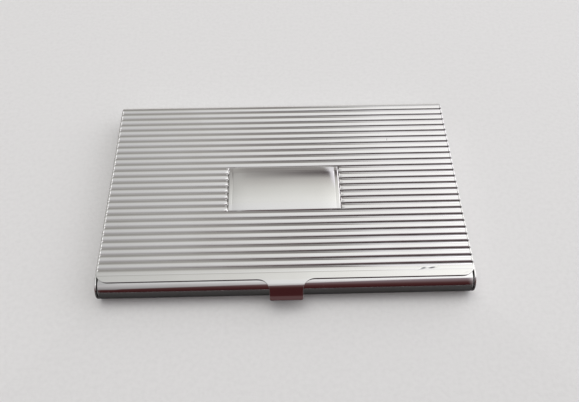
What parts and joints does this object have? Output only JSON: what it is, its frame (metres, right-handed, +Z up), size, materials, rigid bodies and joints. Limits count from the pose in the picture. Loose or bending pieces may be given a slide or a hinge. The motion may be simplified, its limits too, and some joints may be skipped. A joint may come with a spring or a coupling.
{
  "type": "business card case",
  "caption": "Flat metal business card case with a ribbed hinged lid, a blank raised name plate, a thumb tab and a snap spring at the hinge.",
  "frame": {"origin": "centre of the body's flat underside, the thumb tab left out", "axes": "+X to the right along the long side, +Y towards the hinge, +Z up through the lid"},
  "size_m": [0.0944, 0.0619, 0.0078],
  "materials": {
    "lid_plate": "bright silver-coloured plating over pressed sheet, fine scratches",
    "body_plate": "bright silver-coloured plating over folded sheet, softer inside",
    "end_plate": "bright silver-coloured plating over blanked sheet",
    "cam_steel": "machined, lightly oiled",
    "rivet_steel": "plated, faced smooth",
    "spring_steel": "rolled spring strip, faint straw tint"
  },
  "bodies": {
    "case_body": {"base_shell": "body_plate", "end_plate_right": "end_plate", "end_plate_left": "end_plate", "hinge_rivet_right": "rivet_steel", "hinge_rivet_left": "rivet_steel", "snap_spring": "spring_steel", "spring_rivets": "rivet_steel"},
    "lid": {"lid_cover": "lid_plate", "hinge_cam_right": "cam_steel", "hinge_cam_left": "cam_steel"}
  },
  "joints": [
    {"name": "lid_hinge", "type": "hinge", "parent": "case_body", "child": "lid", "pos_m": [0, 0.02625, 0.00375], "axis": [-1, 0, 0], "range_deg": [0, 115], "deforming": ["snap_spring"]}
  ]
}
